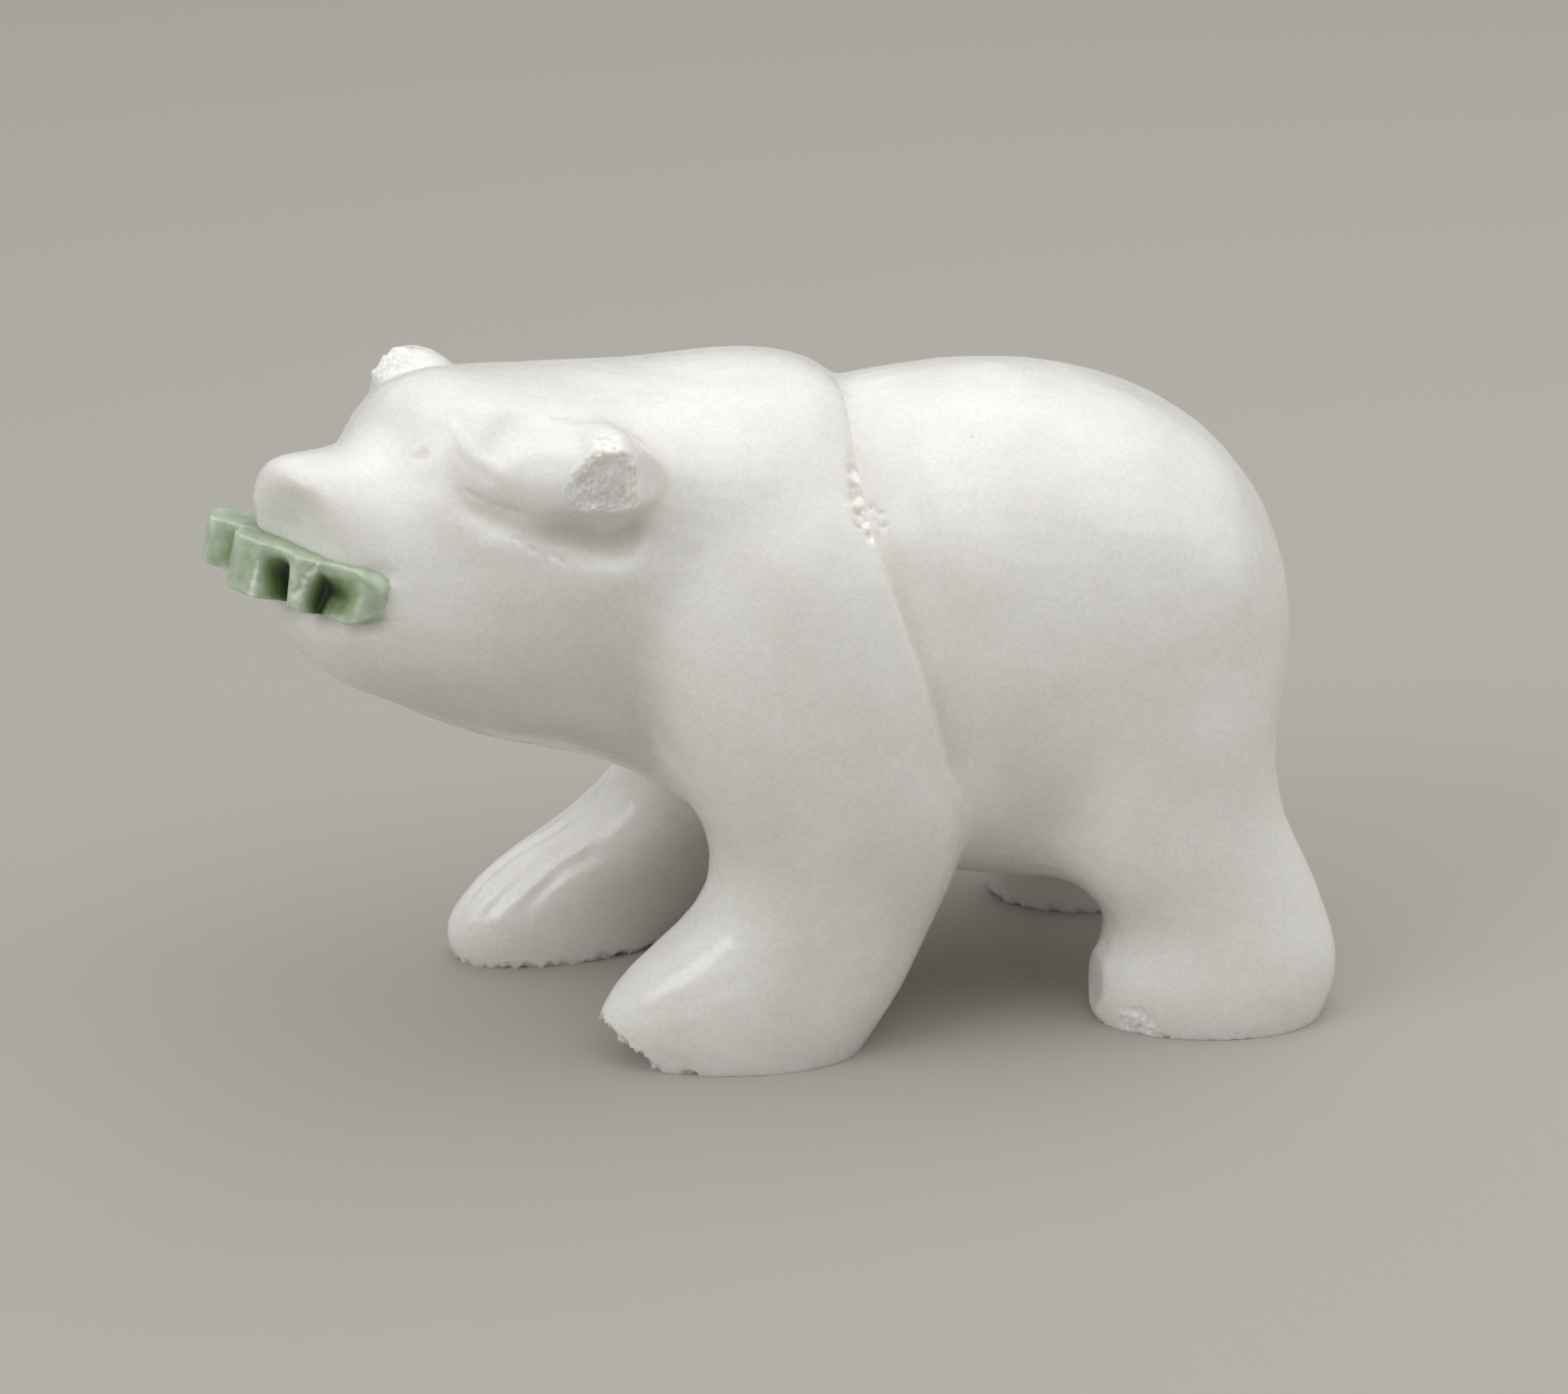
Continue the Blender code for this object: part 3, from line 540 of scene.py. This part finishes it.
def fish_mesh():
    """The fish, cut from a slab, notched and chipped, and then laid in the mouth."""
    outline = bpy.data.curves.new("fish_outline", "CURVE")
    outline.dimensions = "2D"
    outline.fill_mode = "BOTH"
    outline.extrude = FISH_DEPTH / 2
    spline = outline.splines.new("POLY")
    line = curved(FISH_OUTLINE + FISH_OUTLINE[:1], 4)[:-1]
    spline.points.add(len(line) - 1)
    spline.use_cyclic_u = True
    for point, place in zip(spline.points, line):
        point.co = (*place, 0.0, 1.0)
    mesh = baked(baked(outline), "REMESH", mode="VOXEL", voxel_size=FISH_VOXEL)

    # Each of the three is a view of the points, so the points follow what is done to it.
    points = points_of(mesh, 1.0)
    along, ahead, up = points.T
    up *= np.where(up < 0, 1 - TAIL_THINNER * faded((along - TAIL_START) / TAIL_LENGTH), 1)
    nose = np.clip(1 - (along - NOSE_TIP) / NOSE_LENGTH, 0, 1)
    up *= np.sqrt(1 - NOSE_ROUND * nose ** 2)
    low = faded((NOTCH_TOP - up) / NOTCH_RISE)
    front = faded((ahead - NOTCH_BACK) / NOTCH_EASE)
    lean = np.interp(along, *zip(*FIN_LEAN)) * up
    cut = low * front * np.interp(along + lean, *zip(*FISH_NOTCHES))
    ahead -= cut

    sawn = points.copy()
    for chips in (FIN_CHIPS, CREST_CHIPS):
        points = chipped(points, *chips)
    noted(mesh, "broken", np.linalg.norm(points - sawn, axis=1) / FISH_BROKEN_DEPTH)
    put_points(mesh, points @ np.array((FISH_ALONG, FISH_AHEAD, FISH_THICK)) + FISH_AT)
    put_points(mesh, relaxed(mesh, FISH_ROUNDS, PULL))
    # The notches are painted a deeper green, as shade, than their shape alone makes them.
    noted(mesh, "hollow", hollows(mesh, FISH_HOLLOW_ROUNDS) / FISH_HOLLOW_DEPTH + 0.35 * cut)
    return thinned(mesh, FISH_TRIANGLES)


def node(tree, kind, inputs=(), **settings):
    """Adds a node with its settings; each input takes a value or another node's output.

    A Map Range has the value as input 0, the range that comes in as 1 and 2 and the one that goes out as
    3 and 4. A Mix has its share as input 0, and its two sides as 6 and 7 for colours, 2 and 3 for numbers.
    """
    added = tree.nodes.new(kind)
    for name, value in settings.items():
        setattr(added, name, value)
    for key, value in dict(inputs).items():
        if isinstance(value, bpy.types.NodeSocket):
            tree.links.new(value, added.inputs[key])
        else:
            added.inputs[key].default_value = value
    return added


def new_material(name):
    """A material with its nodes and its main shader."""
    material = bpy.data.materials.new(name)
    material.use_nodes = True
    tree = material.node_tree
    return material, tree, tree.nodes["Principled BSDF"]


def polished_quartz():
    """Milky vein quartz, ground to shape and polished by hand: a sugary white under a soft gloss, with
    light that sinks in and comes out warmer. It is frosty where it broke, with a painted sparkle on its
    grains, has painted warm shade in the hollows of its head, and holds a few dark grains."""
    material, tree, shader = new_material("polished_white_quartz")
    place = node(tree, "ShaderNodeTexCoord").outputs["Object"]
    broken = node(tree, "ShaderNodeAttribute", attribute_name="broken").outputs["Fac"]
    hollow = node(tree, "ShaderNodeAttribute", attribute_name="hollow").outputs["Fac"]
    clouds = node(tree, "ShaderNodeAttribute", attribute_name="cloud").outputs["Fac"]

    # Milkier and clearer stone, in the clouds that the mesh holds.
    cloudy = node(tree, "ShaderNodeMapRange", {0: clouds, 1: -1.5, 2: 1.5})
    stone = node(tree, "ShaderNodeMix", {0: cloudy.outputs[0], 6: linear("e9e7e1"), 7: linear("f3f2ee")},
                 data_type="RGBA")
    # Sugary grains, 0.35 mm wide.
    grains = node(tree, "ShaderNodeTexVoronoi", {"Vector": place, "Scale": 1 / 0.00035})
    shade = node(tree, "ShaderNodeSeparateColor", {0: grains.outputs["Color"]})
    tone = node(tree, "ShaderNodeMapRange", {0: shade.outputs[0], 1: 0.0, 2: 1.0, 3: 0.955, 4: 1.03})
    grained = node(tree, "ShaderNodeVectorMath", {0: stone.outputs[2], 3: tone.outputs[0]},
                   operation="SCALE")
    # Painted shade: the head's grooves and hollows are drawn towards a warm brown, for the shade that
    # falls there.
    low = node(tree, "ShaderNodeMapRange", {0: hollow, 1: 0.3, 2: 1.0, 3: 0.0, 4: 0.24})
    hollow_shade = node(tree, "ShaderNodeMix", {0: low.outputs[0], 6: grained.outputs[0], 7: linear("c3b39c")},
                 data_type="RGBA")
    # Stray grains 0.3 mm across, one in about 4 mm: most are clear white, one in ten is dark.
    strays = node(tree, "ShaderNodeTexVoronoi", {"Vector": place, "Scale": 1 / 0.004})
    chance = node(tree, "ShaderNodeSeparateColor", {0: strays.outputs["Color"]})
    kind = node(tree, "ShaderNodeMath", {0: chance.outputs[0], 1: 0.1}, operation="GREATER_THAN")
    stray = node(tree, "ShaderNodeMix", {0: kind.outputs[0], 6: linear("8a7d6d"), 7: linear("ffffff")},
                 data_type="RGBA")
    spot = node(tree, "ShaderNodeMapRange",
                {0: strays.outputs["Distance"], 1: 0.025, 2: 0.045, 3: 0.7, 4: 0.0})
    specked = node(tree, "ShaderNodeMix",
                   {0: spot.outputs[0], 6: hollow_shade.outputs[2], 7: stray.outputs[2]}, data_type="RGBA")
    # Broken stone is frosty; each grain of it is painted lighter or darker at random, a painted sparkle
    # standing in for its facets catching the light.
    frost_and_sparkle = node(tree, "ShaderNodeMix", {0: shade.outputs[2], 6: linear("e2e1dd"), 7: linear("fbfbfa")},
                 data_type="RGBA")
    frost_and_highlight = node(tree, "ShaderNodeMix", {0: broken, 6: specked.outputs[2], 7: frost_and_sparkle.outputs[2]},
                   data_type="RGBA")
    tree.links.new(frost_and_highlight.outputs[2], shader.inputs["Base Color"])

    # The odd polished grain catches the light like a tiny mirror.
    glint = node(tree, "ShaderNodeMapRange", {0: shade.outputs[1], 1: 0.955, 2: 0.965, 3: 0.27, 4: 0.1})
    gloss = node(tree, "ShaderNodeMix", {0: broken, 2: glint.outputs[0], 3: 0.3})
    tree.links.new(gloss.outputs[0], shader.inputs["Roughness"])

    # Light goes 3 mm deep, red the deepest.
    shader.inputs["IOR"].default_value = 1.54
    shader.subsurface_method = "BURLEY"
    shader.inputs["Subsurface Weight"].default_value = 0.4
    shader.inputs["Subsurface Radius"].default_value = (1.0, 0.78, 0.58)
    shader.inputs["Subsurface Scale"].default_value = 0.003
    return material


def sawn_nephrite():
    """Nephrite jade, sawn out and lightly polished: a waxy sage green, painted deeper in the notches as
    shade and paler along its thin edges as light, cloudy within, and frosted where the wheel chipped it,
    a frost that also paints the highlights on the fin's edge and the crest."""
    material, tree, shader = new_material("green_nephrite")
    place = node(tree, "ShaderNodeTexCoord").outputs["Object"]
    broken = node(tree, "ShaderNodeAttribute", attribute_name="broken").outputs["Fac"]
    hollow = node(tree, "ShaderNodeAttribute", attribute_name="hollow").outputs["Fac"]

    # Painted light and shade: pale on the edges where they catch the light, deep green in the notches
    # where shade falls.
    depth = node(tree, "ShaderNodeMapRange", {0: hollow, 1: -0.5, 2: 1.0})
    lit_and_shaded_tones = node(tree, "ShaderNodeValToRGB", {0: depth.outputs[0]})
    lit_and_shaded_tones.color_ramp.elements[0].color = linear("bdcbb4")
    lit_and_shaded_tones.color_ramp.elements[1].color = linear("24341a")
    for share, colour in ((0.3, "b1c1a8"), (0.5, "7f9968"), (0.75, "45602b")):
        lit_and_shaded_tones.color_ramp.elements.new(share).color = linear(colour)
    # Felted clouds in the jade, 1.5 mm wide.
    clouds = node(tree, "ShaderNodeTexNoise", {"Vector": place, "Scale": 1 / 0.0015, "Detail": 4.0})
    cloudy = node(tree, "ShaderNodeMapRange", {0: clouds.outputs["Fac"], 1: 0.3, 2: 0.7, 3: 0.8, 4: 1.16})
    felted = node(tree, "ShaderNodeVectorMath", {0: lit_and_shaded_tones.outputs[0], 3: cloudy.outputs[0]},
                  operation="SCALE")
    # Frosty pale where the wheel chipped it; along the fin's edge and the crest this pale also stands in
    # as a painted highlight.
    frost_and_highlight = node(tree, "ShaderNodeMix", {0: broken, 6: felted.outputs[0], 7: linear("dfe8db")},
                   data_type="RGBA")
    tree.links.new(frost_and_highlight.outputs[2], shader.inputs["Base Color"])
    gloss = node(tree, "ShaderNodeMapRange", {0: clouds.outputs["Fac"], 3: 0.25, 4: 0.45})
    tree.links.new(gloss.outputs[0], shader.inputs["Roughness"])
    # Fine marks of the saw and the polish, 0.3 mm wide, which is coarser than they are.
    marks = node(tree, "ShaderNodeTexNoise", {"Vector": place, "Scale": 1 / 0.0003, "Detail": 3.0})
    bump = node(tree, "ShaderNodeBump",
                {"Height": marks.outputs["Fac"], "Distance": 0.00006, "Strength": 0.5})
    tree.links.new(bump.outputs[0], shader.inputs["Normal"])

    # Light goes 1.2 mm deep, green the deepest.
    shader.inputs["IOR"].default_value = 1.61
    shader.subsurface_method = "BURLEY"
    shader.inputs["Subsurface Weight"].default_value = 0.3
    shader.inputs["Subsurface Radius"].default_value = (0.6, 1.0, 0.6)
    shader.inputs["Subsurface Scale"].default_value = 0.0012
    return material


def pale_floor():
    """A matt painted table top, without any gloss."""
    material, _, shader = new_material("pale_floor")
    shader.inputs["Base Color"].default_value = linear("adaaa3")
    shader.inputs["Specular IOR Level"].default_value = 0.0
    return material


def shown(name, mesh, replaced, material):
    """Shows a piece in place of its solid."""
    piece = bpy.data.objects.new(name, mesh)
    bpy.context.scene.collection.objects.link(piece)
    mesh.materials.clear()
    mesh.materials.append(material)
    mesh.shade_smooth()
    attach(piece, "root")
    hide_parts(replaced)
    return piece


def lamp(name, place, target, width, depth, power):
    """Adds a soft lamp that is turned to its target, in metres and watts."""
    data = bpy.data.lights.new(name, "AREA")
    data.shape = "RECTANGLE"
    data.size, data.size_y = width, depth
    data.energy = power
    thing = bpy.data.objects.new(name, data)
    thing.location = place
    thing.rotation_euler = (Vector(target) - Vector(place)).to_track_quat("-Z", "Y").to_euler()
    bpy.context.scene.collection.objects.link(thing)


fish = shown("jade_fish_stone", fish_mesh(), "jade_fish", sawn_nephrite())
bear = shown("polar_bear_stone", bear_mesh(fish), "polar_bear", polished_quartz())

bpy.ops.mesh.primitive_plane_add(size=8)
floor = bpy.context.object
floor.name = "floor"
floor.data.materials.append(pale_floor())

# A panel over the tail end lights the back, a strong lamp ahead on the near side lights the head and
# the flank, and a weaker one beyond the tail lights the rump.
MIDDLE = (0, 0, 0.04)
lamp("panel", (0.2, -0.03, 0.6), (0.2, -0.03, 0.0), 0.38, 0.85, 0.9)
lamp("fill", (-1.1, -0.45, 0.75), MIDDLE, 0.8, 0.8, 5.2)
lamp("side", (1.0, -0.3, 0.65), MIDDLE, 0.8, 0.8, 1.6)

# The studio around it is bright above and nearly dark from the floor's height down.
world = bpy.data.worlds.new("studio")
world.use_nodes = True
tree = world.node_tree
height = node(tree, "ShaderNodeSeparateXYZ", {0: node(tree, "ShaderNodeTexCoord").outputs["Generated"]})
glow = node(tree, "ShaderNodeMapRange", {0: height.outputs["Z"], 1: 0.0, 2: 1.0, 3: 0.06, 4: 1.15},
            interpolation_type="SMOOTHSTEP")
tree.links.new(glow.outputs[0], tree.nodes["Background"].inputs["Strength"])
tree.nodes["Background"].inputs["Color"].default_value = linear("f4f4f3")
bpy.context.scene.world = world
bpy.context.scene.view_settings.view_transform = "Standard"

# The photograph's angle, in metres: how far round to the near side, how high, what it looks at and from
# how far away. Its lens is as long as 3906 of the 1600 pixels across the photograph.
TURN = math.radians(-12)
RISE = math.radians(22)
AIM = Vector((0.00047, -0.0083, 0.038))
DISTANCE = 0.42
SENSOR = 36
lens = bpy.data.cameras.new("camera")
lens.sensor_width = SENSOR
lens.lens = 3906 / 1600 * SENSOR
lens.clip_start = 0.01
camera = bpy.data.objects.new("camera", lens)
away = Vector((math.sin(TURN) * math.cos(RISE), -math.cos(TURN) * math.cos(RISE), math.sin(RISE)))
camera.location = AIM + away * DISTANCE
camera.rotation_euler = (-away).to_track_quat("-Z", "Y").to_euler()
bpy.context.scene.collection.objects.link(camera)
bpy.context.scene.camera = camera
